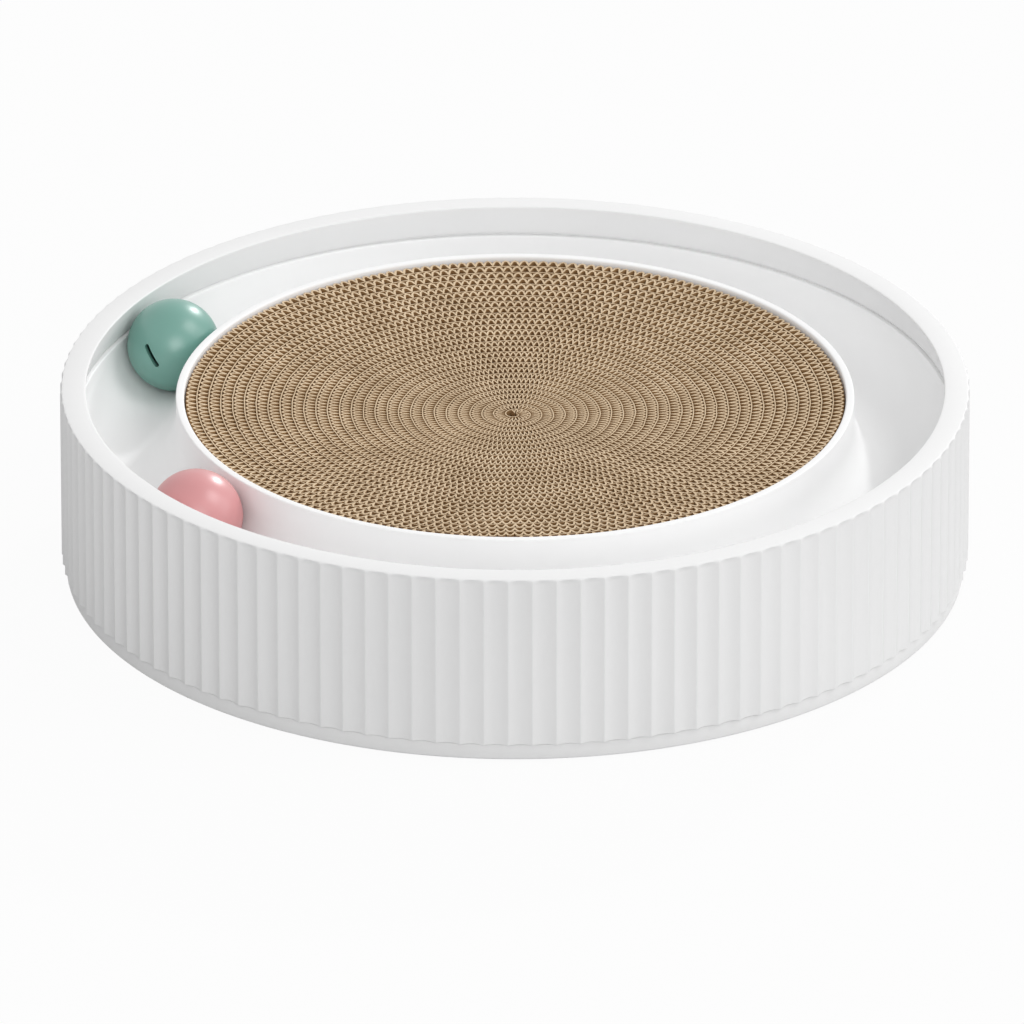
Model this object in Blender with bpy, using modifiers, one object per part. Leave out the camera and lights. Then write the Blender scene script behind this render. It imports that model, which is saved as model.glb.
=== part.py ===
# Cat scratcher bed: a fluted drum with a ball track round a wound cardboard pad.
# Metres, +Z up. The origin is on the floor, on the axis of the drum.

from math import acos
from math import asin
from math import atan2
from math import cos
from math import pi
from math import radians
from math import sin

import bmesh
import bpy
import numpy as np
from mathutils import Matrix
from mathutils import Vector

MM = 0.001

# Gaps between pieces
SEAM = 0.3 * MM                 # between mouldings that sit on or in each other
CUT_PAST = 5.0 * MM             # how far a cutter runs past the face it opens
SHARP_EDGE = radians(20)        # edges steeper than this are shaded sharp

# Outer ring
RIM_RADIUS = 195.0 * MM         # over the ridges between the flutes
TOTAL_HEIGHT = 85.5 * MM        # floor to rim
FLUTE_COUNT = 120
FLUTE_FACETS = 4
FLUTE_DEPTH = 1.5 * MM
FLUTE_TURN = radians(-0.84)     # angle of the first ridge
RING_WALL = 2.5 * MM            # behind the deepest line of a flute
RIM_EDGE = 0.8 * MM             # chamfer on both edges of the rim
SKIRT_HEIGHT = 15.0 * MM        # the rim's inner face, down to the tray
SKIRT_LEAN = 4.5 * MM           # how far that face leans out on its way down
SKIRT_SETBACK = 1.2 * MM        # step from the skirt in to the tray's wall
RING_STEPS = 120

# Balls
BALL_RADIUS = 20.0 * MM
BALL_WALL = 1.8 * MM
BALL_SIDE_CLEARANCE = 0.7 * MM  # between a ball and the sides of its track
BALL_LAP = 1.2 * MM             # depth of the lapped seam between half shells
BALL_SEGMENTS = 20
BALL_ROWS = 5                   # rows of facets from pole to seam
SLOT_LENGTH = 11.0 * MM
SLOT_WIDTH = 2.2 * MM
SLOT_END_FLAT = 0.1 * MM        # flat left at the middle of each round end
SLOT_END_SEGMENTS = 3
SLOT_CUT_DEPTH = 8.0 * MM       # through the wall and well past it
SLOT_OFF_POLE = radians(32)     # from the pole of its half shell
GREEN_ANGLE = radians(152.75)   # places of the balls in the track
PINK_ANGLE = radians(215.45)
GREEN_LIE = (radians(64.6), radians(208))     # how each ball has come to lie:
PINK_LIE = (radians(-115.4), radians(35))     # tip of its pole, turn about its pole

# Bells inside the balls
BELL_RADIUS = 6.0 * MM
BELL_SEAM_WIDTH = 0.6 * MM      # the crimped edge round the bell's middle
BELL_SEAM_HEIGHT = 0.8 * MM
BELL_PLAY = 0.75 * MM           # between a bell and the inside of its ball
BELL_SEGMENTS = 12
BELL_ROWS = 4

# Track tray
TRAY_WALL = 2.5 * MM
TRAY_STEPS = 60
LIP_WIDTH = 3.6 * MM            # flat top of the tray's edge, under the skirt
LIP_LEAN = 0.3 * MM
LIP_RISE = 0.8 * MM             # straight stretch between the lip and the round
TRACK_FACETS = 12
TRACK_BACK_FACETS = 6
HUB_WALL = 3.6 * MM
HUB_DROP = 4.6 * MM             # rim of the ring down to the rim of the hub
HUB_EDGE = 1.2 * MM
HUB_EDGE_FACETS = 2

# Scratch coil
PAD_CLEARANCE = 0.7 * MM        # round the pad, inside the hub
PAD_DROP = 1.6 * MM             # hub rim down to the pad's edge
PAD_HEIGHT = 45.0 * MM          # at its edge
PAD_DISH = 7.8 * MM             # how much lower the middle of its top is
PAD_TURNS = 24
PAD_TURN_POINTS = 24
PAD_TURN_GAP = 0.8 * MM         # air between one turn and the next
PAD_EYE_RADIUS = 3.6 * MM       # to the middle of the strip at its inner end
PAD_END_ANGLE = radians(-90)    # where the strip ends on the outside
PAD_JOG = 0.16                  # share of an outer turn in which it steps in

# Base pan
FOOT_PROUD = 1.0 * MM           # floor to the base pan's underside
BASE_BAND_HEIGHT = 6.0 * MM
BASE_INSET = 2.5 * MM           # band's face behind the ridges
BASE_PLATE = 3.0 * MM
BASE_EDGE = 0.8 * MM
SPIGOT_WALL = 2.5 * MM
SPIGOT_HEIGHT = 5.0 * MM        # above the band, inside the ring
STAND_INSET = 8.0 * MM          # ring that carries the cup, inside the cup's edge
STAND_WALL = 2.5 * MM
BASE_STEPS = 48

# Feet
FOOT_COUNT = 6
FOOT_RADIUS = 9.0 * MM
FOOT_RECESS = 1.0 * MM
FOOT_INSET = 22.5 * MM          # foot's middle behind the band's face
FOOT_TURN = radians(30)
FOOT_SEGMENTS = 16

# Screws and their bosses
SCREW_COUNT = 6
SCREW_RADIUS = 1.6 * MM
SCREW_LENGTH = 16.0 * MM
SCREW_HEAD_RADIUS = 3.2 * MM
SCREW_HEAD_HEIGHT = 2.0 * MM
SCREW_CROSS_WIDTH = 0.9 * MM
SCREW_CROSS_LENGTH = 3.6 * MM
SCREW_CROSS_DEPTH = 1.0 * MM
SCREW_INSET = 5.2 * MM          # screw's axis inside the ring's wall
SCREW_SEGMENTS = 10
HEAD_CLEARANCE = 0.4 * MM
HEAD_SINK = 2.7 * MM            # head above the base pan's underside
TOWER_SETBACK = 0.4 * MM        # a tower's face behind the spigot's
BOSS_ROOT = 0.8 * MM            # how far a boss runs into the ring's wall
BOSS_ROOF = 3.6 * MM            # material over the end of the pilot hole
PILOT_SPARE = 1.0 * MM          # pilot hole past the screw's end
BOSS_SEGMENTS = 12

# Radii worked out from the rim inwards
RING_BORE = RIM_RADIUS - FLUTE_DEPTH - RING_WALL
LIP_RADIUS = RING_BORE - SEAM
LIP_INNER = LIP_RADIUS - LIP_WIDTH
TRACK_ROUND = BALL_RADIUS + BALL_SIDE_CLEARANCE
TRACK_RADIUS = LIP_INNER - LIP_LEAN - TRACK_ROUND
HUB_RADIUS = TRACK_RADIUS - TRACK_ROUND
CUP_RADIUS = HUB_RADIUS - HUB_WALL
PAD_RADIUS = CUP_RADIUS - PAD_CLEARANCE
SKIRT_FOOT = LIP_INNER + SKIRT_SETBACK
RIM_OPENING = SKIRT_FOOT - SKIRT_LEAN
BAND_RADIUS = RIM_RADIUS - BASE_INSET
SCREW_CIRCLE = RING_BORE - SCREW_INSET
FOOT_CIRCLE = BAND_RADIUS - FOOT_INSET

# Heights worked out from the floor and from the rim
BASE_TOP = FOOT_PROUD + BASE_PLATE
BAND_TOP = FOOT_PROUD + BASE_BAND_HEIGHT
SPIGOT_TOP = BAND_TOP + SPIGOT_HEIGHT
RING_FOOT = BAND_TOP + SEAM
SKIRT_BOTTOM = TOTAL_HEIGHT - SKIRT_HEIGHT
LIP_TOP = SKIRT_BOTTOM - SEAM
TRACK_MIDDLE = LIP_TOP - LIP_RISE
TRACK_FLOOR = TRACK_MIDDLE - TRACK_ROUND
BALL_HEIGHT = TRACK_FLOOR + SEAM + BALL_RADIUS
HUB_TOP = TOTAL_HEIGHT - HUB_DROP
PAD_TOP = HUB_TOP - PAD_DROP
PAD_BOTTOM = PAD_TOP - PAD_HEIGHT
CUP_FLOOR = PAD_BOTTOM - SEAM
CUP_UNDERSIDE = CUP_FLOOR - TRAY_WALL
BOSS_BOTTOM = SPIGOT_TOP + SEAM
HEAD_SEAT = FOOT_PROUD + HEAD_SINK + SCREW_HEAD_HEIGHT + SEAM
SCREW_TIP = HEAD_SEAT - SEAM + SCREW_LENGTH
PILOT_TOP = SCREW_TIP + PILOT_SPARE
BOSS_TOP = PILOT_TOP + BOSS_ROOF


def clear_scene():
    for item in list(bpy.data.objects):
        bpy.data.objects.remove(item, do_unlink=True)


def make_collection(name):
    collection = bpy.data.collections.new(name)
    bpy.context.scene.collection.children.link(collection)
    return collection


def make_material(name, colour, roughness, metallic=0.0):
    material = bpy.data.materials.new(name)
    material.use_nodes = True
    shader = material.node_tree.nodes["Principled BSDF"]
    shader.inputs["Base Color"].default_value = (*colour, 1.0)
    shader.inputs["Roughness"].default_value = roughness
    shader.inputs["Metallic"].default_value = metallic
    return material


def add_piece(name, mesh, material):
    piece = bpy.data.objects.new(name, mesh)
    if not mesh.materials:
        mesh.materials.append(material)
    PARTS.objects.link(piece)
    return piece


def add_cutter(name, mesh):
    cutter = bpy.data.objects.new(name, mesh)
    cutter.hide_render = True
    cutter.display_type = "WIRE"
    CUTTERS.objects.link(cutter)
    return cutter


def mesh_from(bm, name):
    mesh = bpy.data.meshes.new(name)
    bm.to_mesh(mesh)
    bm.free()
    mesh.shade_smooth()
    mesh.set_sharp_from_angle(angle=SHARP_EDGE)
    return mesh


def profile_mesh(name, points):
    # A chain of edges in the XZ plane, for a Screw modifier to turn
    bm = bmesh.new()
    verts = [bm.verts.new((radius, 0.0, height)) for radius, height in points]
    for first, second in zip(verts, verts[1:]):
        bm.edges.new((first, second))
    return mesh_from(bm, name)


def turn(piece, steps):
    screw = piece.modifiers.new("turn", "SCREW")
    screw.axis = "Z"
    screw.angle = 2 * pi
    screw.steps = steps
    screw.render_steps = steps
    screw.use_merge_vertices = True
    screw.merge_threshold = 0.01 * MM
    screw.use_smooth_shade = True


def boolean(piece, other, operation):
    modifier = piece.modifiers.new(other.name, "BOOLEAN")
    modifier.object = other
    modifier.operation = operation
    modifier.solver = "EXACT"


def arc(centre, radius, start, end, count):
    # Points on a round stretch, set out so that the flats between them
    # touch the true radius, and the ends lie on it
    step = (end - start) / count
    reach = radius / cos(step / 2)
    points = []
    for index in range(count + 1):
        angle = start + index * step
        r = radius if index in (0, count) else reach
        points.append((centre[0] + r * cos(angle), centre[1] + r * sin(angle)))
    return points


def around(count, radius, turn_angle=0.0):
    # Places spaced evenly on a circle about the drum's axis
    angles = [turn_angle + 2 * pi * index / count for index in range(count)]
    return [(radius * cos(angle), radius * sin(angle)) for angle in angles]


def pegs(name, places, radius, bottom, top, segments):
    # One upright cylinder at each place
    bm = bmesh.new()
    for x, y in places:
        bmesh.ops.create_cone(
            bm, cap_ends=True, segments=segments, radius1=radius, radius2=radius,
            depth=top - bottom, matrix=Matrix.Translation((x, y, (top + bottom) / 2)))
    return mesh_from(bm, name)


def flute_radius(index):
    share = (index % FLUTE_FACETS) / FLUTE_FACETS
    hollow = 1.0 - (2.0 * share - 1.0) ** 2
    return RIM_RADIUS - FLUTE_DEPTH * hollow


def make_outer_ring():
    # The fluted outline is drawn up into a drum, with a chamfer round the rim
    count = FLUTE_COUNT * FLUTE_FACETS
    bm = bmesh.new()
    circle = bmesh.ops.create_circle(bm, segments=count, radius=RIM_RADIUS)
    for index, vert in enumerate(circle["verts"]):
        angle = FLUTE_TURN + 2 * pi * index / count
        radius = flute_radius(index)
        vert.co = (radius * cos(angle), radius * sin(angle), RING_FOOT)
    outline = bm.edges[:]
    chamfer = (RIM_RADIUS - RIM_EDGE) / RIM_RADIUS
    for height, spread in ((TOTAL_HEIGHT - RIM_EDGE, 1.0), (TOTAL_HEIGHT, chamfer)):
        drawn = bmesh.ops.extrude_edge_only(bm, edges=outline)["geom"]
        for vert in (item for item in drawn if isinstance(item, bmesh.types.BMVert)):
            vert.co = (vert.co.x * spread, vert.co.y * spread, height)
        outline = [item for item in drawn if isinstance(item, bmesh.types.BMEdge)]
    bmesh.ops.holes_fill(bm, edges=bm.edges[:])
    bmesh.ops.recalc_face_normals(bm, faces=bm.faces[:])
    ring = add_piece("outer_ring", mesh_from(bm, "outer_ring"), WHITE)

    # The bore leaves the wall, and above it the rim that leans in over the track
    bore = add_cutter("ring_bore", profile_mesh("ring_bore", [
        (0.0, TOTAL_HEIGHT + CUT_PAST),
        (RIM_OPENING + RIM_EDGE + CUT_PAST, TOTAL_HEIGHT + CUT_PAST),
        (RIM_OPENING, TOTAL_HEIGHT - RIM_EDGE),
        (SKIRT_FOOT, SKIRT_BOTTOM),
        (RING_BORE, SKIRT_BOTTOM),
        (RING_BORE, RING_FOOT - CUT_PAST),
        (0.0, RING_FOOT - CUT_PAST)]))
    turn(bore, RING_STEPS)
    boolean(ring, bore, "DIFFERENCE")

    # Screw bosses stand inside the wall, each with a blind pilot hole
    places = around(SCREW_COUNT, SCREW_CIRCLE)
    bosses = add_cutter("ring_bosses", pegs(
        "ring_bosses", places, SCREW_INSET + BOSS_ROOT, BOSS_BOTTOM, BOSS_TOP, BOSS_SEGMENTS))
    boolean(ring, bosses, "UNION")
    pilots = add_cutter("ring_pilot_holes", pegs(
        "ring_pilot_holes", places, SCREW_RADIUS + SEAM, BOSS_BOTTOM - CUT_PAST, PILOT_TOP,
        SCREW_SEGMENTS))
    boolean(ring, pilots, "DIFFERENCE")
    return ring


def make_track_tray():
    # One shell: cup floor, hub, round-bottomed track and the lip under the ring
    edge_out = (HUB_RADIUS - HUB_EDGE, HUB_TOP - HUB_EDGE)
    edge_in = (CUP_RADIUS + HUB_EDGE, HUB_TOP - HUB_EDGE)
    middle = (TRACK_RADIUS, TRACK_MIDDLE)
    back_round = TRACK_ROUND + TRAY_WALL
    lip_back = atan2(-TRAY_WALL, LIP_RADIUS - TRACK_RADIUS) + 2 * pi
    hub_back = pi + acos(TRACK_ROUND / back_round)
    profile = [(0.0, CUP_FLOOR), (CUP_RADIUS, CUP_FLOOR)]
    profile += arc(edge_in, HUB_EDGE, pi, pi / 2, HUB_EDGE_FACETS)
    profile += arc(edge_out, HUB_EDGE, pi / 2, 0.0, HUB_EDGE_FACETS)
    profile += arc(middle, TRACK_ROUND, pi, 2 * pi, TRACK_FACETS)
    profile += [(LIP_INNER, LIP_TOP), (LIP_RADIUS, LIP_TOP), (LIP_RADIUS, TRACK_MIDDLE - TRAY_WALL)]
    profile += arc(middle, back_round, lip_back, hub_back, TRACK_BACK_FACETS)[1:]
    profile += [(HUB_RADIUS, CUP_UNDERSIDE), (0.0, CUP_UNDERSIDE)]
    tray = add_piece("track_tray", profile_mesh("track_tray", profile), WHITE)
    turn(tray, TRAY_STEPS)
    return tray


def make_base_pan():
    stand_outer = CUP_RADIUS - STAND_INSET
    base = add_piece("base_pan", profile_mesh("base_pan", [
        (0.0, BASE_TOP),
        (stand_outer - STAND_WALL, BASE_TOP),
        (stand_outer - STAND_WALL, CUP_UNDERSIDE - SEAM),
        (stand_outer, CUP_UNDERSIDE - SEAM),
        (stand_outer, BASE_TOP),
        (LIP_RADIUS - SPIGOT_WALL, BASE_TOP),
        (LIP_RADIUS - SPIGOT_WALL, SPIGOT_TOP),
        (LIP_RADIUS, SPIGOT_TOP),
        (LIP_RADIUS, BAND_TOP),
        (BAND_RADIUS, BAND_TOP),
        (BAND_RADIUS, FOOT_PROUD + BASE_EDGE),
        (BAND_RADIUS - BASE_EDGE, FOOT_PROUD),
        (0.0, FOOT_PROUD)]), WHITE)
    turn(base, BASE_STEPS)

    # A tower under each boss takes a screw, its head sunk below the underside
    places = around(SCREW_COUNT, SCREW_CIRCLE)
    towers = add_cutter("base_towers", pegs(
        "base_towers", places, SCREW_INSET - SEAM - TOWER_SETBACK, BASE_TOP - BASE_PLATE / 2,
        SPIGOT_TOP, BOSS_SEGMENTS))
    boolean(base, towers, "UNION")
    seats = add_cutter("base_head_seats", pegs(
        "base_head_seats", places, SCREW_HEAD_RADIUS + HEAD_CLEARANCE, FOOT_PROUD - CUT_PAST,
        HEAD_SEAT, BOSS_SEGMENTS))
    boolean(base, seats, "DIFFERENCE")
    holes = add_cutter("base_screw_holes", pegs(
        "base_screw_holes", places, SCREW_RADIUS + SEAM, FOOT_PROUD - CUT_PAST,
        SPIGOT_TOP + CUT_PAST, SCREW_SEGMENTS))
    boolean(base, holes, "DIFFERENCE")

    recesses = add_cutter("base_foot_recesses", pegs(
        "base_foot_recesses", around(FOOT_COUNT, FOOT_CIRCLE, FOOT_TURN), FOOT_RADIUS + SEAM,
        FOOT_PROUD - CUT_PAST, FOOT_PROUD + FOOT_RECESS, FOOT_SEGMENTS))
    boolean(base, recesses, "DIFFERENCE")
    return base


def make_feet():
    height = FOOT_PROUD + FOOT_RECESS - SEAM
    mesh = pegs("foot", [(0.0, 0.0)], FOOT_RADIUS, 0.0, height, FOOT_SEGMENTS)
    for number, (x, y) in enumerate(around(FOOT_COUNT, FOOT_CIRCLE, FOOT_TURN), 1):
        foot = add_piece(f"foot_{number}", mesh, RUBBER)
        foot.location = (x, y, 0.0)


def make_screws():
    # Pan heads downwards, with a cross recess, and plain shanks up into the bosses
    head_bottom = FOOT_PROUD + HEAD_SINK
    head_top = HEAD_SEAT - SEAM
    mesh = profile_mesh("base_screw", [
        (0.0, SCREW_TIP),
        (SCREW_RADIUS / 2, SCREW_TIP),
        (SCREW_RADIUS, SCREW_TIP - SCREW_RADIUS),
        (SCREW_RADIUS, head_top),
        (SCREW_HEAD_RADIUS, head_top),
        (SCREW_HEAD_RADIUS, head_top - SCREW_HEAD_HEIGHT / 2),
        (SCREW_HEAD_RADIUS - SCREW_HEAD_HEIGHT / 2, head_bottom),
        (0.0, head_bottom)])
    bm = bmesh.new()
    for size in ((SCREW_CROSS_LENGTH, SCREW_CROSS_WIDTH), (SCREW_CROSS_WIDTH, SCREW_CROSS_LENGTH)):
        bmesh.ops.create_cube(bm, size=1.0, matrix=Matrix.Translation((0.0, 0.0, head_bottom))
                              @ Matrix.Diagonal((*size, 2 * SCREW_CROSS_DEPTH, 1.0)))
    cross = mesh_from(bm, "base_screw_cross")
    for number, (x, y) in enumerate(around(SCREW_COUNT, SCREW_CIRCLE), 1):
        screw = add_piece(f"base_screw_{number}", mesh, STEEL)
        screw.location = (x, y, 0.0)
        turn(screw, SCREW_SEGMENTS)
        cutter = add_cutter(f"base_screw_cross_{number}", cross)
        cutter.location = (x, y, 0.0)
        boolean(screw, cutter, "DIFFERENCE")
        screw.modifiers[-1].use_self = True


def coil_step(turns):
    # Share of a pitch by which the strip has moved in within its present turn.
    # The outer turns are round until a short step in, the inner ones spiral
    whole = int(turns)
    part = turns - whole
    jog = min(max((part - (1.0 - PAD_JOG)) / PAD_JOG, 0.0), 1.0)
    outer_share = 1.0 - turns / PAD_TURNS
    return whole + outer_share * jog + (1.0 - outer_share) * part


def least_gap(points, thickness):
    # Smallest air gap between the strip's turns, from points to far stretches
    path = np.array([(point.x, point.y) for point in points])
    start = path[:-1]
    run = path[1:] - start
    length = (run ** 2).sum(axis=1)
    least = 1.0
    for index, point in enumerate(path):
        along = np.clip(((point - start) * run).sum(axis=1) / length, 0.0, 1.0)
        away = np.linalg.norm(start + run * along[:, None] - point, axis=1)
        far = np.abs(np.arange(len(start)) - index) > PAD_TURN_POINTS // 2
        least = min(least, away[far].min())
    return least - thickness


def make_scratch_coil():
    # The strip's middle line, wound inwards, then drawn up to the dished top
    pitch = (PAD_RADIUS + PAD_TURN_GAP / 2 - PAD_EYE_RADIUS) / (PAD_TURNS + 0.5)
    strip = pitch - PAD_TURN_GAP
    outer = PAD_RADIUS - strip / 2
    points = []
    for index in range(PAD_TURNS * PAD_TURN_POINTS + 1):
        turns = index / PAD_TURN_POINTS
        angle = PAD_END_ANGLE + 2 * pi * turns
        radius = outer - pitch * coil_step(turns)
        points.append(Vector((radius * cos(angle), radius * sin(angle), 0.0)))
    print(f"scratch coil: least gap to itself {least_gap(points, strip) / MM:.2f} mm")

    bm = bmesh.new()
    verts = [bm.verts.new(point) for point in points]
    edges = [bm.edges.new(pair) for pair in zip(verts, verts[1:])]
    drawn = bmesh.ops.extrude_edge_only(bm, edges=edges)["geom"]
    for vert in (item for item in drawn if isinstance(item, bmesh.types.BMVert)):
        share = vert.co.length / PAD_RADIUS
        vert.co.z = PAD_HEIGHT - PAD_DISH * (1.0 - share ** 2)
    bmesh.ops.recalc_face_normals(bm, faces=bm.faces[:])
    coil = add_piece("scratch_coil", mesh_from(bm, "scratch_coil"), CARDBOARD)
    coil.location.z = PAD_BOTTOM
    solidify = coil.modifiers.new("strip", "SOLIDIFY")
    solidify.thickness = strip
    solidify.offset = 0.0
    solidify.use_even_offset = True
    return coil


def dome(radius, start, end, rows):
    # Points on a circle about the axis, from one latitude to another
    angles = [start + (end - start) * row / rows for row in range(rows + 1)]
    return [(radius * cos(angle), radius * sin(angle)) for angle in angles]


def slotted_half_profile():
    # Upper half shell, with a tongue that drops inside the other half
    inner = BALL_RADIUS - BALL_WALL
    tongue = BALL_RADIUS - BALL_WALL / 2 - SEAM / 2
    profile = dome(BALL_RADIUS, pi / 2, 0.0, BALL_ROWS)[:-1]
    profile += [(BALL_RADIUS, SEAM / 2), (tongue, SEAM / 2), (tongue, -BALL_LAP), (inner, -BALL_LAP)]
    profile += dome(inner, 0.0, pi / 2, BALL_ROWS)
    return profile


def plain_half_profile():
    # Lower half shell, rebated for the tongue
    inner = BALL_RADIUS - BALL_WALL
    rebate = BALL_RADIUS - BALL_WALL / 2 + SEAM / 2
    ledge = -BALL_LAP - SEAM
    profile = dome(inner, -pi / 2, asin(ledge / inner), BALL_ROWS)
    profile += [(rebate, ledge), (rebate, -SEAM / 2), (BALL_RADIUS, -SEAM / 2)]
    profile += dome(BALL_RADIUS, 0.0, -pi / 2, BALL_ROWS)[1:]
    return profile


def bell_profile():
    # A small round bell with a crimped edge round its middle
    half_seam = BELL_SEAM_HEIGHT / 2
    edge = asin(half_seam / BELL_RADIUS)
    seam = BELL_RADIUS + BELL_SEAM_WIDTH
    profile = dome(BELL_RADIUS, pi / 2, edge, BELL_ROWS)
    profile += [(seam, half_seam), (seam, -half_seam)]
    profile += dome(BELL_RADIUS, -edge, -pi / 2, BELL_ROWS)
    return profile


def slot_mesh():
    # A bar with round ends, set through the shell away from its pole
    bm = bmesh.new()
    depth = SLOT_CUT_DEPTH
    bmesh.ops.create_cube(bm, size=1.0, matrix=Matrix.Diagonal((SLOT_WIDTH, SLOT_LENGTH, depth, 1.0)))
    upright = [edge for edge in bm.edges if abs(edge.verts[0].co.z - edge.verts[1].co.z) > depth / 2]
    bmesh.ops.bevel(bm, geom=upright, offset=(SLOT_WIDTH - SLOT_END_FLAT) / 2,
                    segments=SLOT_END_SEGMENTS, affect="EDGES", profile=0.5)
    bm.transform(Matrix.Rotation(SLOT_OFF_POLE, 4, "Y") @ Matrix.Translation((0.0, 0.0, BALL_RADIUS)))
    return mesh_from(bm, "ball_slot")


def make_empty(name, parent=None, location=(0.0, 0.0, 0.0)):
    empty = bpy.data.objects.new(name, None)
    PARTS.objects.link(empty)
    empty.parent = parent
    empty.location = location
    return empty


def make_ball(colour, material, angle, lie):
    # Empties on the track's axis and at the ball's middle carry the pieces
    orbit = make_empty(f"{colour}_orbit_axis")
    place = (TRACK_RADIUS * cos(angle), TRACK_RADIUS * sin(angle), BALL_HEIGHT)
    centre = make_empty(f"{colour}_ball_centre", orbit, place)
    slot = add_cutter(f"{colour}_ball_slot", slot_mesh())
    slotted = add_piece(f"{colour}_ball_slotted_half", profile_mesh("slotted_half", slotted_half_profile()),
                        material)
    plain = add_piece(f"{colour}_ball_plain_half", profile_mesh("plain_half", plain_half_profile()),
                      material)
    for item in (slotted, plain, slot):
        item.parent = centre
        item.rotation_mode = "ZYX"
        item.rotation_euler = (lie[0], 0.0, lie[1])
    turn(slotted, BALL_SEGMENTS)
    turn(plain, BALL_SEGMENTS)
    boolean(slotted, slot, "DIFFERENCE")

    # The bell lies in the bottom of the ball and stays there as the ball rolls
    bell = add_piece(f"{colour}_bell", profile_mesh("bell", bell_profile()), STEEL)
    turn(bell, BELL_SEGMENTS)
    bell.parent = orbit
    drop = BALL_RADIUS - BALL_WALL - BELL_RADIUS - BELL_PLAY
    bell.location = (place[0], place[1], place[2] - drop)


clear_scene()
PARTS = make_collection("cat_scratcher_bed")
CUTTERS = make_collection("cutters")

WHITE = make_material("white_plastic", (0.86, 0.86, 0.86), 0.42)
CARDBOARD = make_material("corrugated_board", (0.45, 0.32, 0.19), 0.9)
GREEN = make_material("green_plastic", (0.17, 0.37, 0.31), 0.3)
PINK = make_material("pink_plastic", (0.66, 0.26, 0.28), 0.3)
STEEL = make_material("plated_steel", (0.62, 0.62, 0.6), 0.35, 1.0)
RUBBER = make_material("grey_rubber", (0.3, 0.3, 0.3), 0.85)

make_outer_ring()
make_track_tray()
make_base_pan()
make_feet()
make_screws()
make_scratch_coil()
make_ball("green", GREEN, GREEN_ANGLE, GREEN_LIE)
make_ball("pink", PINK, PINK_ANGLE, PINK_LIE)
bpy.context.view_layer.update()
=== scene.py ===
from math import cos, pi, radians, sin

import bmesh
import bpy
import numpy as np
from mathutils import Euler, Matrix, Vector, noise


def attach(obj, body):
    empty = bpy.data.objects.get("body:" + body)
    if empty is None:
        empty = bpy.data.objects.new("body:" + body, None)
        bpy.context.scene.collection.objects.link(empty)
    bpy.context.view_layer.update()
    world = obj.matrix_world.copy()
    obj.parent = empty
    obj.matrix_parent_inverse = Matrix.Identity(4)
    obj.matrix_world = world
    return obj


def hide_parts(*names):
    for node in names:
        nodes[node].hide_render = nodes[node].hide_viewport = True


# Looks for the cat scratcher bed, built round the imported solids.
# Sizes are in millimetres and angles in degrees. A rounding is (setback, steps).
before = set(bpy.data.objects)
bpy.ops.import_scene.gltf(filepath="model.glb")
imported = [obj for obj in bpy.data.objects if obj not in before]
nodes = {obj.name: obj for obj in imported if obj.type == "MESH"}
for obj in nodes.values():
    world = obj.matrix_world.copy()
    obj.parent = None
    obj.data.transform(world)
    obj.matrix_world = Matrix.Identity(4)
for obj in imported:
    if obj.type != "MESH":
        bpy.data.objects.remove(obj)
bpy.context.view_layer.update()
mm = 0.001
print("frame loaded:", len(nodes), "nodes")


# Finishes

grainRange = (0.3, 0.7)  # where most of a grain's values lie


def newFinish(name, roughness):
    finish = bpy.data.materials.new(name)
    finish.use_nodes = True
    shader = finish.node_tree.nodes["Principled BSDF"]
    shader.inputs["Roughness"].default_value = roughness
    return finish, shader


def addNode(owner, kind, **values):
    # A value goes to the socket of its name, or else to the node's own setting
    node = owner.node_tree.nodes.new(kind)
    for key, value in values.items():
        if key in node.inputs:
            node.inputs[key].default_value = value
        else:
            setattr(node, key, value)
    return node


def join(owner, source, target):
    owner.node_tree.links.new(source, target)


def objectPlace(finish, stretch=(1.0, 1.0, 1.0)):
    # Object coordinates through a Mapping node, so a pattern can be stretched
    place = addNode(finish, "ShaderNodeTexCoord")
    mapping = addNode(finish, "ShaderNodeMapping", Scale=stretch)
    join(finish, place.outputs["Object"], mapping.inputs["Vector"])
    return mapping.outputs["Vector"]


def grain(finish, place, scale, detail=3.0, roughness=0.5):
    pattern = addNode(finish, "ShaderNodeTexNoise", Scale=scale, Detail=detail, Roughness=roughness)
    join(finish, place, pattern.inputs["Vector"])
    return pattern.outputs["Fac"]


def spread(finish, value, low=0.0, high=1.0):
    # The usual range of a grain, stretched from low to high
    fromLow, fromHigh = grainRange
    ramp = addNode(finish, "ShaderNodeMapRange", **{
        "From Min": fromLow, "From Max": fromHigh, "To Min": low, "To Max": high})
    join(finish, value, ramp.inputs["Value"])
    return ramp.outputs["Result"]


def tint(finish, factor, look):
    # Sockets 6 and 7 of a Mix node are its colours, and output 2 the mixed colour
    mix = addNode(finish, "ShaderNodeMix", data_type="RGBA")
    mix.inputs[6].default_value = (*look["dark"], 1.0)
    mix.inputs[7].default_value = (*look["light"], 1.0)
    join(finish, factor, mix.inputs[0])
    return mix.outputs[2]


def relief(finish, height, strength, depth):
    bump = addNode(finish, "ShaderNodeBump", Strength=strength, Distance=depth * mm)
    join(finish, height, bump.inputs["Height"])
    return bump.outputs["Normal"]


plasticGrain = {
    "toneScale": 9.0,
    "glossScale": 60.0,
    "textureScale": 900.0,
    "textureDetail": 2.0,
    "textureDepth": 0.1,
}

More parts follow.
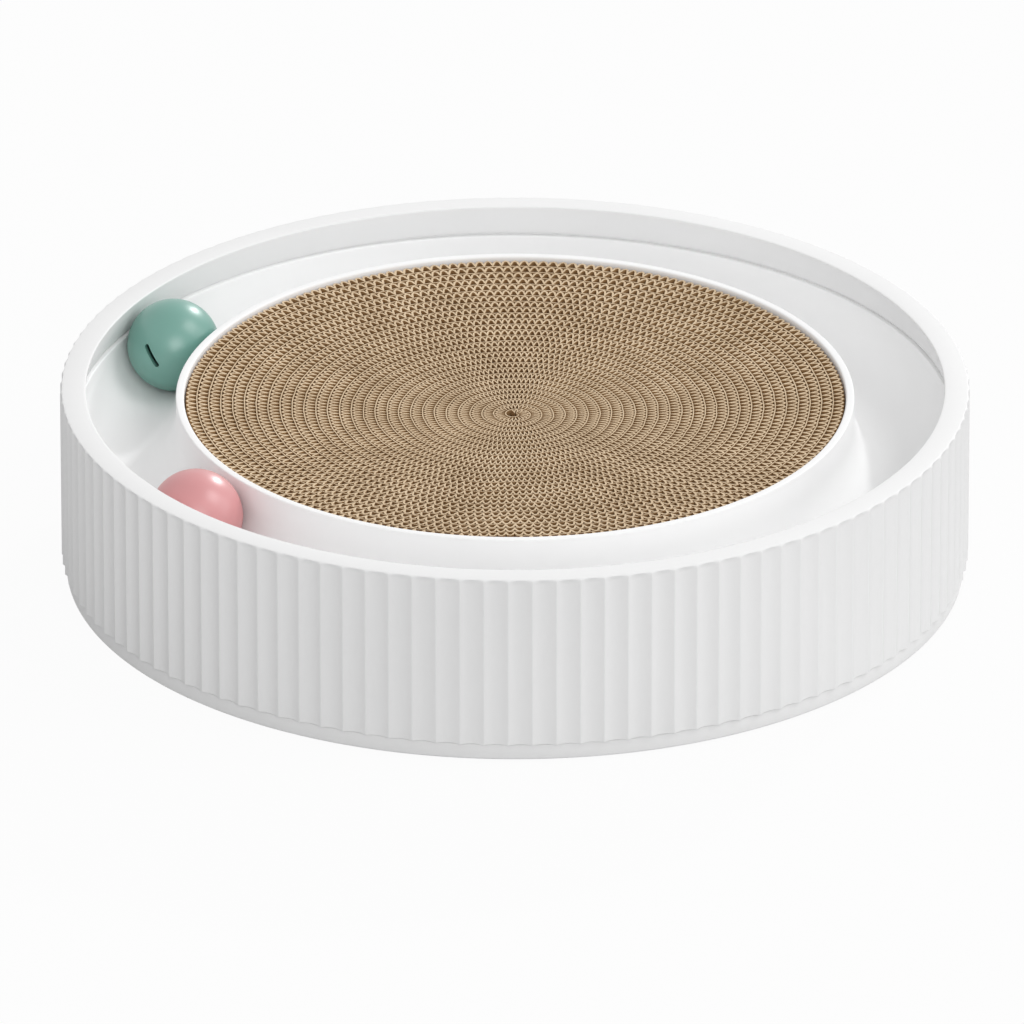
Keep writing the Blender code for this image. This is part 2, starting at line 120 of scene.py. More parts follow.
plasticLooks = {
    # Ring white, a little greyer: partly its own tone, partly painted shade for the ring's outer
    # wall
    "whitePlastic": {"dark": (0.84, 0.84, 0.84), "light": (0.86, 0.86, 0.86),
                     "rough": (0.45, 0.6), "texture": 0.05, "gloss": 0.05},
    # Tray white, a little lighter: partly its own tone, partly painted light for the bright inside
    # of the tray
    "trayPlastic": {"dark": (0.91, 0.91, 0.91), "light": (0.93, 0.93, 0.93),
                    "rough": (0.42, 0.55), "texture": 0.04, "gloss": 0.08},
    "greenPlastic": {"dark": (0.125, 0.315, 0.26), "light": (0.148, 0.343, 0.288),
                     "rough": (0.32, 0.4), "texture": 0.04, "gloss": 1.0},
    "pinkPlastic": {"dark": (0.615, 0.245, 0.250), "light": (0.650, 0.275, 0.280),
                    "rough": (0.32, 0.4), "texture": 0.04, "gloss": 1.0},
}


def mouldedPlastic(name):
    # A slow drift of tone, patches of gloss and the fine texture of the tool
    look = plasticLooks[name]
    finish, shader = newFinish(name, look["rough"][1])
    place = objectPlace(finish)
    tone = spread(finish, grain(finish, place, plasticGrain["toneScale"]))
    rough = spread(finish, grain(finish, place, plasticGrain["glossScale"]), *look["rough"])
    fine = grain(finish, place, plasticGrain["textureScale"], plasticGrain["textureDetail"])
    texture = relief(finish, fine, look["texture"], plasticGrain["textureDepth"])
    join(finish, tint(finish, tone, look), shader.inputs["Base Color"])
    join(finish, rough, shader.inputs["Roughness"])
    join(finish, texture, shader.inputs["Normal"])
    shader.inputs["Specular IOR Level"].default_value = look["gloss"]
    return finish


paperGrain = {
    "fibreScale": 1400.0,
    "fibreStretch": (1.0, 1.0, 0.12),
    "fibreRoughness": 0.6,
    "fibreRelief": 0.25,
    "fibreDepth": 0.2,
    "patchScale": 55.0,
    "rough": 0.9,
    "gloss": 0.2,
}

paperLooks = {
    # Flute and liner paper: kraft tones, darkened further as painted shade so the insides of the
    # cells read dark
    "flutePaper": {"dark": (0.27, 0.15, 0.061), "light": (0.42, 0.25, 0.112), "streaks": 0.5},
    "linerPaper": {"dark": (0.24, 0.133, 0.054), "light": (0.38, 0.226, 0.102), "streaks": 0.5},
    "cutEdge": {"dark": (0.51, 0.375, 0.235), "light": (0.81, 0.645, 0.45), "streaks": 0.6},
}


def kraftPaper(name):
    # Fibres that run with the strip's height, over slow patches of tone
    look = paperLooks[name]
    finish, shader = newFinish(name, paperGrain["rough"])
    upright = objectPlace(finish, paperGrain["fibreStretch"])
    fibre = grain(finish, upright, paperGrain["fibreScale"], roughness=paperGrain["fibreRoughness"])
    patch = grain(finish, objectPlace(finish), paperGrain["patchScale"])
    # Sockets 2 and 3 of a Mix node are its plain numbers, and output 0 the mixed number
    blend = addNode(finish, "ShaderNodeMix", data_type="FLOAT")
    blend.inputs[0].default_value = look["streaks"]
    join(finish, patch, blend.inputs[2])
    join(finish, fibre, blend.inputs[3])
    tone = spread(finish, blend.outputs[0])
    texture = relief(finish, fibre, paperGrain["fibreRelief"], paperGrain["fibreDepth"])
    join(finish, tint(finish, tone, look), shader.inputs["Base Color"])
    join(finish, texture, shader.inputs["Normal"])
    shader.inputs["Specular IOR Level"].default_value = paperGrain["gloss"]
    return finish


steelLook = {
    "dark": (0.50, 0.50, 0.49),
    "light": (0.68, 0.67, 0.65),
    "rough": (0.22, 0.4),
    "brushScale": 260.0,
    "brushStretch": (1.0, 1.0, 8.0),
}


def platedSteel(name):
    finish, shader = newFinish(name, steelLook["rough"][1])
    shader.inputs["Metallic"].default_value = 1.0
    place = objectPlace(finish, steelLook["brushStretch"])
    brushed = grain(finish, place, steelLook["brushScale"])
    join(finish, tint(finish, brushed, steelLook), shader.inputs["Base Color"])
    join(finish, spread(finish, brushed, *steelLook["rough"]), shader.inputs["Roughness"])
    return finish


rubberLook = {
    "dark": (0.22, 0.22, 0.22),
    "light": (0.32, 0.32, 0.31),
    "rough": 0.85,
    "speckleScale": 700.0,
    "speckleRelief": 0.2,
    "speckleDepth": 0.2,
}


def footRubber(name):
    finish, shader = newFinish(name, rubberLook["rough"])
    speckle = grain(finish, objectPlace(finish), rubberLook["speckleScale"])
    texture = relief(finish, speckle, rubberLook["speckleRelief"], rubberLook["speckleDepth"])
    join(finish, tint(finish, speckle, rubberLook), shader.inputs["Base Color"])
    join(finish, texture, shader.inputs["Normal"])
    return finish


whitePlastic = mouldedPlastic("whitePlastic")
trayPlastic = mouldedPlastic("trayPlastic")
greenPlastic = mouldedPlastic("greenPlastic")
pinkPlastic = mouldedPlastic("pinkPlastic")
flutePaper = kraftPaper("flutePaper")
linerPaper = kraftPaper("linerPaper")
cutEdge = kraftPaper("cutEdge")
steel = platedSteel("platedSteel")
rubber = footRubber("footRubber")
print("finishes made")


# Shaping helpers

sharpCorner = 30.0  # an edge that turns by more is shaded sharp
meetingGaps = {"section": 0.002, "spin": 0.001, "flutes": 0.01}  # points this close become one


def onlyVerts(geom):
    return [item for item in geom if isinstance(item, bmesh.types.BMVert)]


def onlyEdges(geom):
    return [item for item in geom if isinstance(item, bmesh.types.BMEdge)]


def joinMeeting(bm, gap):
    bmesh.ops.remove_doubles(bm, verts=bm.verts[:], dist=meetingGaps[gap] * mm)


def roundCorners(bm, corners, setback, steps):
    bmesh.ops.bevel(bm, geom=corners, offset=setback * mm, offset_type="OFFSET", affect="VERTICES",
                    segments=steps, profile=0.5, material=-1)


def sectionLine(bm, corners):
    # Half section as (radius, height) or (radius, height, *rounding), drawn as a chain of edges
    verts = [bm.verts.new((corner[0] * mm, 0.0, corner[1] * mm)) for corner in corners]
    for first, second in zip(verts, verts[1:]):
        bm.edges.new((first, second))
    for vert, corner in zip(verts, corners):
        if len(corner) > 2:
            roundCorners(bm, [vert], *corner[2:])
    joinMeeting(bm, "section")


def spinRound(bm, steps):
    bmesh.ops.spin(bm, geom=bm.verts[:] + bm.edges[:], cent=(0.0, 0.0, 0.0), axis=(0.0, 0.0, 1.0),
                   dvec=(0.0, 0.0, 0.0), angle=2 * pi, steps=steps, use_merge=True,
                   use_normal_flip=False, use_duplicate=False)
    joinMeeting(bm, "spin")


def meshObject(bm, name, sharpAngle=sharpCorner):
    mesh = bpy.data.meshes.new(name)
    bm.to_mesh(mesh)
    bm.free()
    mesh.shade_smooth()
    mesh.set_sharp_from_angle(angle=radians(sharpAngle))
    piece = bpy.data.objects.new(name, mesh)
    bpy.context.scene.collection.objects.link(piece)
    return piece


def cutAway(piece, cutter):
    # Takes the cutter's shape out of the piece for good
    modifier = piece.modifiers.new("cut", "BOOLEAN")
    modifier.object = cutter
    modifier.operation = "DIFFERENCE"
    modifier.solver = "EXACT"
    ready = piece.evaluated_get(bpy.context.evaluated_depsgraph_get())
    mesh = bpy.data.meshes.new_from_object(ready)
    mesh.set_sharp_from_angle(angle=radians(sharpCorner))
    piece.modifiers.clear()
    piece.data = mesh
    bpy.data.objects.remove(cutter)


def dress(piece, body, finishes, node):
    for finish in finishes:
        piece.data.materials.append(finish)
    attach(piece, body)
    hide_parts(node)
    print(piece.name, "made:", len(piece.data.polygons), "faces")


# Outer ring: a fluted wall, a flat rim and a skirt that leans out below it

ringSizes = {
    "rimRadius": 195.0,
    "rimHeight": 85.5,
    "rimFlat": 185.4,
    "rimOpening": 183.76,
    "rimEdge": (0.8, 4),
    "footHeight": 8.5,
    "footEdge": 0.1,
    "flutes": 120,
    "fluteFacets": 8,
    "fluteDepth": 1.5,
    "fluteTurn": -0.84,
    "ridgeRound": (0.3, 2),
    # Height, step inwards and how much of the flute is taken up, level by level
    "levels": [(8.6, -0.1, 0.0), (82.4, 0.0, 0.0), (83.6, 0.0, 0.08), (84.4, 0.04, 0.2),
               (84.8, 0.1, 0.3), (85.1, 0.2, 0.38), (85.32, 0.3, 0.42), (85.5, 0.6, 0.42)],
    "skirtFoot": 188.0,
    "skirtEdge": (0.3, 3),
    "skirtBottom": 70.25,
    "revealTop": 71.5,
    "revealSlope": 0.3,
    "revealDepth": 1.1,
    "revealEdge": (0.2, 2),
    "bore": 191.0,
    "sharpAngle": 35.0,
}


def makeOuterRing():
    size = ringSizes
    facets = size["fluteFacets"]
    count = size["flutes"] * facets
    bm = bmesh.new()
    outline = bmesh.ops.create_circle(bm, segments=count, radius=size["rimRadius"] * mm)["verts"]
    for index, vert in enumerate(outline):
        across = 2.0 * (index % facets) / facets - 1.0
        radius = (size["rimRadius"] - size["fluteDepth"] * (1.0 - across ** 2)) * mm
        angle = radians(size["fluteTurn"]) + 2 * pi * index / count
        vert.co = (radius * cos(angle), radius * sin(angle), size["footHeight"] * mm)
    roundCorners(bm, outline[::facets], *size["ridgeRound"])
    loop = bm.edges[:]
    around = len(loop)

    # The outline is drawn up to the rim; the flutes run out where the rim's edge rolls over
    ridge = size["rimRadius"] - size["footEdge"]
    shrink = ridge / size["rimRadius"]
    bmesh.ops.scale(bm, vec=(shrink, shrink, 1.0), verts=bm.verts[:])
    for height, inset, pull in size["levels"]:
        drawn = bmesh.ops.extrude_edge_only(bm, edges=loop)["geom"]
        loop = onlyEdges(drawn)
        for vert in onlyVerts(drawn):
            radius = vert.co.xy.length / mm
            depth = (ridge - radius) * (1.0 - pull)
            vert.co.xy = vert.co.xy * ((ridge - inset - depth) / radius)
            vert.co.z = height * mm
        ridge -= inset

    # The inside is spun from its section and joined to the wall at the rim and at the foot
    inside = bmesh.new()
    reveal = size["skirtFoot"] + size["revealDepth"]
    sectionLine(inside, [
        (size["rimFlat"], size["rimHeight"]),
        (size["rimOpening"], size["rimHeight"], *size["rimEdge"]),
        (size["skirtFoot"], size["revealTop"], *size["skirtEdge"]),
        (reveal, size["revealTop"] - size["revealSlope"], *size["revealEdge"]),
        (reveal, size["skirtBottom"]),
        (size["bore"], size["skirtBottom"]),
        (size["bore"], size["footHeight"])])
    spinRound(inside, around)
    part = bpy.data.meshes.new("ringInside")
    inside.to_mesh(part)
    inside.free()
    bm.from_mesh(part)
    bpy.data.meshes.remove(part)
    middle = (size["rimHeight"] + size["footHeight"]) / 2 * mm
    openEdges = [edge for edge in bm.edges if len(edge.link_faces) == 1]
    top = [edge for edge in openEdges if edge.verts[0].co.z > middle]
    foot = [edge for edge in openEdges if edge.verts[0].co.z < middle]
    bmesh.ops.bridge_loops(bm, edges=top)
    bmesh.ops.triangle_fill(bm, edges=foot, normal=(0.0, 0.0, -1.0))
    bmesh.ops.recalc_face_normals(bm, faces=bm.faces[:])
    ring = meshObject(bm, "flutedRing", size["sharpAngle"])
    dress(ring, "bed", [whitePlastic], "outer_ring")


# Track tray: cup for the pad, hub round it, round-bottomed track and lip

traySizes = {
    "cupFloor": 34.0,
    "cupUnderside": 31.5,
    "cupRadius": 141.8,
    "cupCorner": (1.5, 4),
    "hubRadius": 145.4,
    "hubTop": 80.9,
    "hubInnerEdge": (0.9, 5),
    "hubOuterEdge": (0.6, 5),
    "trackFloor": 48.7,
    "trackOuter": 186.8,
    "trackRound": (20.7, 20),
    "backRound": (20.7, 10),
    "lipStart": (186.9, 69.4),
    "lipInner": 187.1,
    "lipInnerEdge": (0.35, 3),
    "lipRadius": 190.7,
    "lipOuterEdge": (0.3, 2),
    "lipTop": 70.2,
    "lipFoot": 66.9,
    "wall": 2.5,
    "aroundSteps": 288,
}


def makeTrackTray():
    size = traySizes
    back = size["trackFloor"] - size["wall"]
    backRadius = size["trackOuter"] + size["wall"]
    bm = bmesh.new()
    sectionLine(bm, [
        (0.0, size["cupFloor"]),
        (size["cupRadius"], size["cupFloor"], *size["cupCorner"]),
        (size["cupRadius"], size["hubTop"], *size["hubInnerEdge"]),
        (size["hubRadius"], size["hubTop"], *size["hubOuterEdge"]),
        (size["hubRadius"], size["trackFloor"], *size["trackRound"]),
        (size["trackOuter"], size["trackFloor"], *size["trackRound"]),
        size["lipStart"],
        (size["lipInner"], size["lipTop"], *size["lipInnerEdge"]),
        (size["lipRadius"], size["lipTop"], *size["lipOuterEdge"]),
        (size["lipRadius"], size["lipFoot"]),
        (backRadius, size["lipFoot"]),
        (backRadius, back, *size["backRound"]),
        (size["hubRadius"], back),
        (size["hubRadius"], size["cupUnderside"]),
        (0.0, size["cupUnderside"])])
    spinRound(bm, size["aroundSteps"])
    bmesh.ops.recalc_face_normals(bm, faces=bm.faces[:])
    tray = meshObject(bm, "ballTrack")
    dress(tray, "bed", [trayPlastic], "track_tray")


# Base pan: plain band under the ring, with seats for the screws and feet below

baseSizes = {
    "underside": 1.0,
    "plateTop": 4.0,
    "bandRadius": 192.9,
    "bandTop": 8.1,
    "bandEdge": (0.8, 4),
    "bandTopEdge": (0.7, 3),
    "spigotRadius": 190.7,
    "spigotTop": 12.0,
    "spigotWall": 10.5,
    "standRadius": 133.8,
    "standWall": 2.5,
    "standTop": 31.2,
    "screwSeats": {"circle": 185.8, "radius": 3.6, "top": 6.0, "turn": 0.0},
    "footSeats": {"circle": 170.0, "radius": 9.3, "top": 2.0, "turn": 30.0},
    "seats": 6,
    "seatReach": 2.0,
    "seatSteps": 40,
    "aroundSteps": 288,
}


def ringOfPegs(name):
    # Pegs in the shape of the seats, which reach out below the underside
    size = baseSizes
    seat = size[name]
    radius = seat["radius"] * mm
    bottom = size["underside"] - size["seatReach"]
    middle = (bottom + seat["top"]) / 2
    bm = bmesh.new()
    for index in range(size["seats"]):
        angle = radians(seat["turn"]) + 2 * pi * index / size["seats"]
        place = Vector((seat["circle"] * cos(angle), seat["circle"] * sin(angle), middle)) * mm
        bmesh.ops.create_cone(bm, cap_ends=True, segments=size["seatSteps"],
                              radius1=radius, radius2=radius, depth=(seat["top"] - bottom) * mm,
                              matrix=Matrix.Translation(place))
    return meshObject(bm, name)


def makeBasePan():
    size = baseSizes
    bm = bmesh.new()
    spigotInner = size["spigotRadius"] - size["spigotWall"]
    standInner = size["standRadius"] - size["standWall"]
    sectionLine(bm, [
        (0.0, size["plateTop"]),
        (standInner, size["plateTop"]),
        (standInner, size["standTop"]),
        (size["standRadius"], size["standTop"]),
        (size["standRadius"], size["plateTop"]),
        (spigotInner, size["plateTop"]),
        (spigotInner, size["spigotTop"]),
        (size["spigotRadius"], size["spigotTop"]),
        (size["spigotRadius"], size["bandTop"]),
        (size["bandRadius"], size["bandTop"], *size["bandTopEdge"]),
        (size["bandRadius"], size["underside"], *size["bandEdge"]),
        (0.0, size["underside"])])
    spinRound(bm, size["aroundSteps"])
    bmesh.ops.recalc_face_normals(bm, faces=bm.faces[:])
    pan = meshObject(bm, "baseBand")
    for name in ("screwSeats", "footSeats"):
        cutAway(pan, ringOfPegs(name))
    dress(pan, "bed", [whitePlastic], "base_pan")


# Scratch pad: a strip of corrugated board wound from the outside in, with its edges dished

padSizes = {
    "radius": 141.1,
    "bottom": 34.3,
    "edgeTop": 79.3,
    "dish": 7.8,
    "turnPitch": 4.95,
    "turns": 27.6,
    "endAngle": -90.0,
    "stepShare": 0.03,
    "tableSteps": 12000,
    "drawnHeight": 1.0,
    "linerPaper": 0.5,
    "linerCore": 0.8,
    "linerSegment": 1.5,
    "linerSharp": 50.0,
    "flutePaper": 0.75,
    "fluteCore": 2.2,
    "coreFlute": 1.5,
    "rimFlute": 4.0,
    "fluteSegments": 6,
    "fluteSharp": 60.0,
    "fluteStrips": {"outerFlutes": (0.0, 0.5), "innerFlutes": (0.5, 1.0)},
    "troughPinch": 1.5,
    "troughCorners": (-0.95, -0.15),
    "drift": 0.45,
    "driftWaves": ((0.137, 0.0), (0.0531, 1.3)),
    "give": 0.3,
    "givePatch": 6.0,
    "giveFade": 12.0,
    "giveSeed": 5,
    "levelFace": 0.7,
}


def windingTable(outer, core):
    # Length run along the strip, radius and angle, from the outer end in to the core:
    # the outer turns are round with a short step in, the inner ones spiral
    size = padSizes
    at = np.linspace(0.0, (outer - core) / size["turnPitch"], size["tableSteps"])
    whole = np.floor(at)
    part = at - whole
    step = np.clip((part - 1.0 + size["stepShare"]) / size["stepShare"], 0.0, 1.0)
    outerShare = np.clip(1.0 - at / size["turns"], 0.0, 1.0)
    radius = outer - size["turnPitch"] * (whole + outerShare * step + (1.0 - outerShare) * part)
    angle = radians(size["endAngle"]) + 2 * pi * at
    run = np.hypot(np.diff(radius), radius[1:] * np.diff(angle))
    return np.concatenate(([0.0], np.cumsum(run))), radius, angle


def wavesAlong(lengths, radii):
    # Count of waves along the strip: the tighter it is wound, the closer they are pressed together
    size = padSizes
    wave = size["coreFlute"] + (size["rimFlute"] - size["coreFlute"]) * radii / size["radius"]
    return np.concatenate(([0.0], np.cumsum(np.diff(lengths) / wave[1:])))


def drawStrip(bm, thickness):
    # The strip's plan is drawn up to a wall, given the paper's thickness and centred on its line
    drawn = bmesh.ops.extrude_edge_only(bm, edges=bm.edges[:])["geom"]
    bmesh.ops.translate(bm, vec=(0.0, 0.0, padSizes["drawnHeight"] * mm), verts=onlyVerts(drawn))
    bmesh.ops.recalc_face_normals(bm, faces=bm.faces[:])
    bmesh.ops.solidify(bm, geom=bm.faces[:], thickness=thickness * mm)
    sides = [vert.co.y for vert in bm.verts]
    centring = -(min(sides) + max(sides)) / 2
    bmesh.ops.translate(bm, vec=(0.0, centring, 0.0), verts=bm.verts[:])


def joinTroughs(bm):
    # Inside a trough the paper's flanks run into each other, so the three corners there become one
    low, high = padSizes["troughCorners"]
    drawnHeight = padSizes["drawnHeight"] * mm
    corners = [vert for vert in bm.verts if low * mm < vert.co.y < high * mm]
    joined = {}
    for level in (0.0, drawnHeight):
        row = [vert for vert in corners if abs(vert.co.z - level) < drawnHeight / 2]
        row.sort(key=lambda vert: vert.co.x)
        for left, middle, right in zip(row[::3], row[1::3], row[2::3]):
            joined[left] = middle
            joined[right] = middle
    bmesh.ops.weld_verts(bm, targetmap=joined)


def windUp(bm, along, radii, angles):
    # Bends the straight strip onto its winding and gives its top edge the dish
    size = padSizes
    flat = np.array([vert.co[:] for vert in bm.verts]) / mm
    run = flat[:, 0]
    radius = np.interp(run, along, radii) + flat[:, 1]
    # The flutes drift a little along the strip, as the paper gives when it is wound
    drift = size["drift"] * sum(np.sin(run * rate + phase) for rate, phase in size["driftWaves"])
    angle = np.interp(run + drift, along, angles)
    dished = size["edgeTop"] - size["dish"] * (1.0 - (radius / size["radius"]) ** 2)
    height = np.where(flat[:, 2] > size["drawnHeight"] / 2, dished, size["bottom"])
    # Liner and flutes give together where the winding was pressed, less at the edge and the core
    fromEdge = np.clip((size["radius"] - radius) / size["giveFade"], 0.0, 1.0)
    fromCore = np.clip(radius / size["giveFade"], 0.0, 1.0)
    give = size["give"] * fromEdge * fromCore
    noise.seed_set(size["giveSeed"])
    for vert, out, turn, level, slack in zip(bm.verts, radius, angle, height, give):
        place = Vector((out * cos(turn), out * sin(turn), 0.0))
        place += noise.noise_vector(place / size["givePatch"]) * slack
        vert.co = (place.x * mm, place.y * mm, level * mm)


def markCutEdges(bm):
    # Faces are turned outwards, and the cut edges at the top get their own finish
    size = padSizes
    bmesh.ops.recalc_face_normals(bm, faces=bm.faces[:])
    bm.normal_update()
    middle = (size["bottom"] + size["edgeTop"]) / 2 * mm
    level = [face for face in bm.faces if abs(face.normal.z) > size["levelFace"]]
    top = [face for face in level if face.calc_center_median().z > middle]
    if top[0].normal.z < 0:
        bmesh.ops.reverse_faces(bm, faces=bm.faces[:])
    for face in top:
        face.material_index = 1


def makeLiner():
    # Flat liner, one flute's height inside the pad's outer edge
    size = padSizes
    outer = size["radius"] - size["turnPitch"] + size["linerPaper"] / 2
    table = windingTable(outer, size["linerCore"])
    length = table[0][-1]
    bm = bmesh.new()
    start = bm.verts.new((0.0, 0.0, 0.0))
    end = bm.verts.new((length * mm, 0.0, 0.0))
    line = bm.edges.new((start, end))
    bmesh.ops.subdivide_edges(bm, edges=[line], cuts=int(length / size["linerSegment"]))
    drawStrip(bm, size["linerPaper"])
    windUp(bm, *table)
    markCutEdges(bm)
    liner = meshObject(bm, "boardLiner", size["linerSharp"])
    dress(liner, "pad", [linerPaper, cutEdge], "scratch_coil")


def makeFlutes(name, outerEnd, innerEnd):
    # Fluted paper on the liner's outer face, in strips that meet end to end
    size = padSizes
    swing = (size["turnPitch"] - size["linerPaper"] - size["flutePaper"]) / 2
    outer = size["radius"] - size["flutePaper"] / 2 - swing
    lengths, radii, angles = windingTable(outer, size["fluteCore"])
    waves = wavesAlong(lengths, radii)
    count = int(waves[-1])
    length = lengths[-1] / count
    first = int(count * outerEnd)
    last = int(count * innerEnd)
    bm = bmesh.new()
    wave = []
    for step in range(size["fluteSegments"] + 1):
        share = step / size["fluteSegments"]
        # Troughs, glued to the liner, are narrower than crests
        rise = 1.0 - 2.0 * ((1.0 - cos(2 * pi * share)) / 2) ** size["troughPinch"]
        wave.append(bm.verts.new(((first + share) * length * mm, swing * rise * mm, 0.0)))
    for one, other in zip(wave, wave[1:]):
        bm.edges.new((one, other))
    # A spin without an angle repeats the wave along the strip
    bmesh.ops.spin(bm, geom=bm.verts[:] + bm.edges[:], cent=(0.0, 0.0, 0.0), axis=(0.0, 0.0, 1.0),
                   dvec=(length * mm, 0.0, 0.0), angle=0.0, steps=last - first - 1,
                   use_merge=False, use_normal_flip=False, use_duplicate=True)
    joinMeeting(bm, "flutes")
    drawStrip(bm, size["flutePaper"])
    joinTroughs(bm)
    windUp(bm, waves * length, radii, angles)
    markCutEdges(bm)
    flutes = meshObject(bm, name, size["fluteSharp"])
    dress(flutes, "pad", [flutePaper, cutEdge], "scratch_coil")


# Balls: two half shells each, one with a rattle slot

ballSizes = {
    "radius": 20.0,
    "wall": 1.8,
    "aroundSteps": 96,
    "poleSteps": 64,
    "seam": 0.15,
    "seamEdge": 0.22,
    "slotLength": 11.0,
    "slotWidth": 2.2,
    "slotDepth": 8.0,
    "slotEnd": (1.08, 8),
    "slotOffPole": 32.0,
    "track": 166.1,
    "height": 69.0,
    "lies": {"green": {"place": 152.75, "tip": 64.6, "turn": 208.0},
             "pink": {"place": 215.45, "tip": -115.4, "turn": 35.0}},
}


def halfShell(sign):
    # Half of a ball with a softened seam edge, then given its wall
    size = ballSizes
    bm = bmesh.new()
    bmesh.ops.create_uvsphere(bm, u_segments=size["aroundSteps"], v_segments=size["poleSteps"],
                              radius=size["radius"] * mm)
    cutHeight = sign * (size["seam"] + size["seamEdge"]) * mm
    bmesh.ops.bisect_plane(bm, geom=bm.verts[:] + bm.edges[:] + bm.faces[:],
                           plane_co=(0.0, 0.0, cutHeight), plane_no=(0.0, 0.0, sign),
                           clear_inner=True)
    rim = [edge for edge in bm.edges if len(edge.link_faces) == 1]
    drawn = onlyVerts(bmesh.ops.extrude_edge_only(bm, edges=rim)["geom"])
    share = 1.0 - size["seamEdge"] / size["radius"]
    bmesh.ops.scale(bm, vec=(share, share, 1.0), verts=drawn)
    bmesh.ops.translate(bm, vec=(0.0, 0.0, -sign * size["seamEdge"] * mm), verts=drawn)
    bmesh.ops.recalc_face_normals(bm, faces=bm.faces[:])
    bmesh.ops.solidify(bm, geom=bm.faces[:], thickness=size["wall"] * mm)
    return bm


def slotCutter():
    # A bar with round ends, across the shell's wall
    size = ballSizes
    bm = bmesh.new()
    depth = size["slotDepth"] * mm
    bar = Matrix.Diagonal((size["slotWidth"] * mm, size["slotLength"] * mm, depth, 1.0))
    bmesh.ops.create_cube(bm, size=1.0, matrix=bar)
    upright = [edge for edge in bm.edges
               if abs(edge.verts[0].co.z - edge.verts[1].co.z) > depth / 2]
    setback, steps = size["slotEnd"]
    bmesh.ops.bevel(bm, geom=upright, offset=setback * mm, offset_type="OFFSET", affect="EDGES",
                    segments=steps, profile=0.5, material=-1)
    outwards = Matrix.Translation((0.0, 0.0, size["radius"] * mm))
    lean = Matrix.Rotation(radians(size["slotOffPole"]), 4, "Y")
    bmesh.ops.transform(bm, verts=bm.verts[:], matrix=lean @ outwards)
    return bm


def makeBall(colour, finish):
    size = ballSizes
    lie = size["lies"][colour]
    angle = radians(lie["place"])
    place = Vector((size["track"] * cos(angle), size["track"] * sin(angle), size["height"])) * mm
    turn = Euler((radians(lie["tip"]), 0.0, radians(lie["turn"])), "ZYX").to_matrix().to_4x4()
    slotted = meshObject(halfShell(1.0), f"{colour}SlottedHalf")
    cutAway(slotted, meshObject(slotCutter(), f"{colour}Slot"))
    plain = meshObject(halfShell(-1.0), f"{colour}PlainHalf")
    for half, kind in ((slotted, "slotted"), (plain, "plain")):
        half.data.transform(Matrix.Translation(place) @ turn)
        dress(half, f"{colour}_ball", [finish], f"{colour}_ball_{kind}_half")


makeOuterRing()
makeTrackTray()
makeBasePan()
makeLiner()
for name, (outerEnd, innerEnd) in padSizes["fluteStrips"].items():
    makeFlutes(name, outerEnd, innerEnd)
makeBall("green", greenPlastic)
makeBall("pink", pinkPlastic)


# Carried-over solids: bells, screws and feet keep their shapes and get their finishes

def refinish(node, finish):
    node.data.materials.clear()
    node.data.materials.append(finish)


for name, node in nodes.items():
    if "bell" in name or "screw" in name:
        refinish(node, steel)
    elif name.startswith("foot"):
        refinish(node, rubber)
print("carried-over solids finished")


# Stage, in metres: white floor and sky, soft lamps, camera

white = (1.0, 1.0, 1.0, 1.0)

stageSizes = {
    "floor": 60.0,
    "floorTone": 0.59,
    "floorRough": 0.9,
    "floorWhite": 0.95,
    "skyLight": 0.6,
    "lampDistance": 12.0,
    "lampAim": (0.0, 0.0, 0.05),
}

lamps = {
    "backRightKey": {"side": (0.42, 0.79, 0.44), "size": 0.8, "power": 465.0},
    "rightSoftbox": {"side": (1.0, 0.0, 0.35), "size": 6.6, "power": 128.0},
    "frontSoftbox": {"side": (0.15, -1.0, 0.5), "size": 6.6, "power": 366.0},
    "highSoftbox": {"side": (0.7, -0.1, 0.9), "size": 5.4, "power": 320.0},
}

# Distance, across and up are in radii of the drum
cameraSizes = {
    "radius": 0.195,
    "elevation": 25.36,
    "distance": 41.15,
    "across": -0.0066,
    "up": 0.116,
    "lens": 655.5,
    "clipEnd": 200.0,
}


def seenShare(owner):
    # 1 for what the camera sees, straight, in a reflection or through glass, and 0 for lighting
    path = addNode(owner, "ShaderNodeLightPath")
    seen = path.outputs["Is Camera Ray"]
    for ray in ("Is Glossy Ray", "Is Transmission Ray"):
        larger = addNode(owner, "ShaderNodeMath", operation="MAXIMUM")
        join(owner, seen, larger.inputs[0])
        join(owner, path.outputs[ray], larger.inputs[1])
        seen = larger.outputs[0]
    return seen


def mixSurface(owner, share, lit, shown, outputName):
    mix = addNode(owner, "ShaderNodeMixShader")
    for source, target in zip((share, lit.outputs[0], shown.outputs[0]), mix.inputs):
        join(owner, source, target)
    join(owner, mix.outputs[0], owner.node_tree.nodes[outputName].inputs["Surface"])


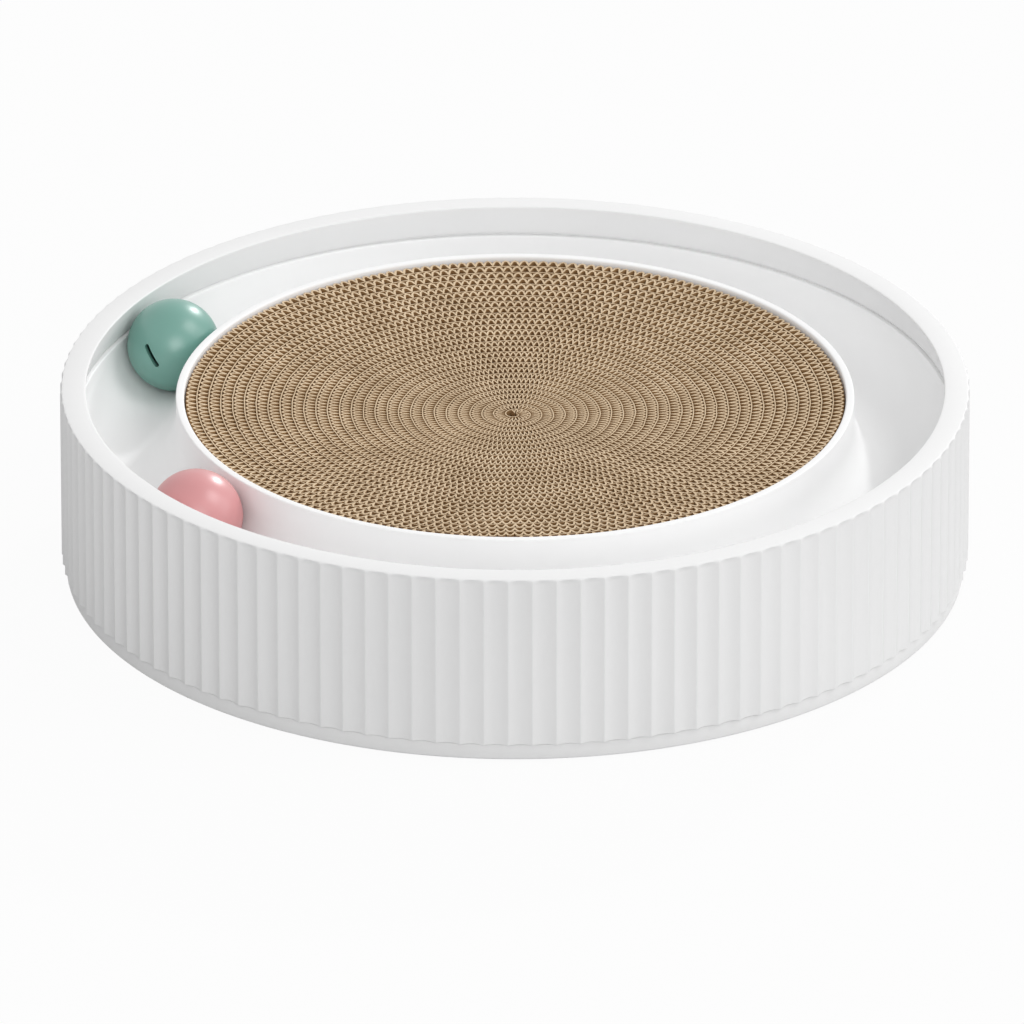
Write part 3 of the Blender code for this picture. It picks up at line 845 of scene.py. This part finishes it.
def makeFloor():
    size = stageSizes
    bm = bmesh.new()
    bmesh.ops.create_grid(bm, x_segments=1, y_segments=1, size=size["floor"] / 2)
    floor = meshObject(bm, "floor")
    finish, shader = newFinish("floorWhite", size["floorRough"])
    tone = size["floorTone"]
    shader.inputs["Base Color"].default_value = (tone, tone, tone, 1.0)
    shader.inputs["Specular IOR Level"].default_value = 0.0
    glow = addNode(finish, "ShaderNodeEmission", Strength=1.0)
    # Part of the floor's own shading stays, and with it the soft shadow
    share = addNode(finish, "ShaderNodeMath", operation="MULTIPLY")
    join(finish, seenShare(finish), share.inputs[0])
    share.inputs[1].default_value = size["floorWhite"]
    mixSurface(finish, share.outputs[0], shader, glow, "Material Output")
    floor.data.materials.append(finish)


def makeSky():
    world = bpy.data.worlds.new("studio")
    bpy.context.scene.world = world
    world.use_nodes = True
    sky = world.node_tree.nodes["Background"]
    sky.inputs["Strength"].default_value = stageSizes["skyLight"]
    sky.inputs["Color"].default_value = white
    backdrop = addNode(world, "ShaderNodeBackground", Color=white)
    mixSurface(world, seenShare(world), sky, backdrop, "World Output")


def makeLamps():
    for name, values in lamps.items():
        data = bpy.data.lights.new(name, "AREA")
        data.shape = "SQUARE"
        data.size = values["size"]
        data.energy = values["power"]
        lamp = bpy.data.objects.new(name, data)
        bpy.context.scene.collection.objects.link(lamp)
        side = Vector(values["side"]).normalized()
        lamp.location = Vector(stageSizes["lampAim"]) + side * stageSizes["lampDistance"]
        lamp.rotation_euler = (-side).to_track_quat("-Z", "Y").to_euler()
        lamp.visible_camera = False


def makeCamera():
    size = cameraSizes
    tilt = radians(size["elevation"])
    up = Vector((0.0, sin(tilt), cos(tilt)))
    back = Vector((0.0, -cos(tilt), sin(tilt)))
    aim = (Vector((size["across"], 0.0, 0.0)) + up * size["up"]) * size["radius"]
    data = bpy.data.cameras.new("camera")
    data.lens = size["lens"]
    data.clip_end = size["clipEnd"]
    camera = bpy.data.objects.new("camera", data)
    bpy.context.scene.collection.objects.link(camera)
    camera.location = aim + back * size["distance"] * size["radius"]
    camera.rotation_euler = (-back).to_track_quat("-Z", "Y").to_euler()
    bpy.context.scene.camera = camera


makeFloor()
makeSky()
makeLamps()
makeCamera()
bpy.context.scene.view_settings.view_transform = "Standard"
print("stage made")

bpy.context.view_layer.update()
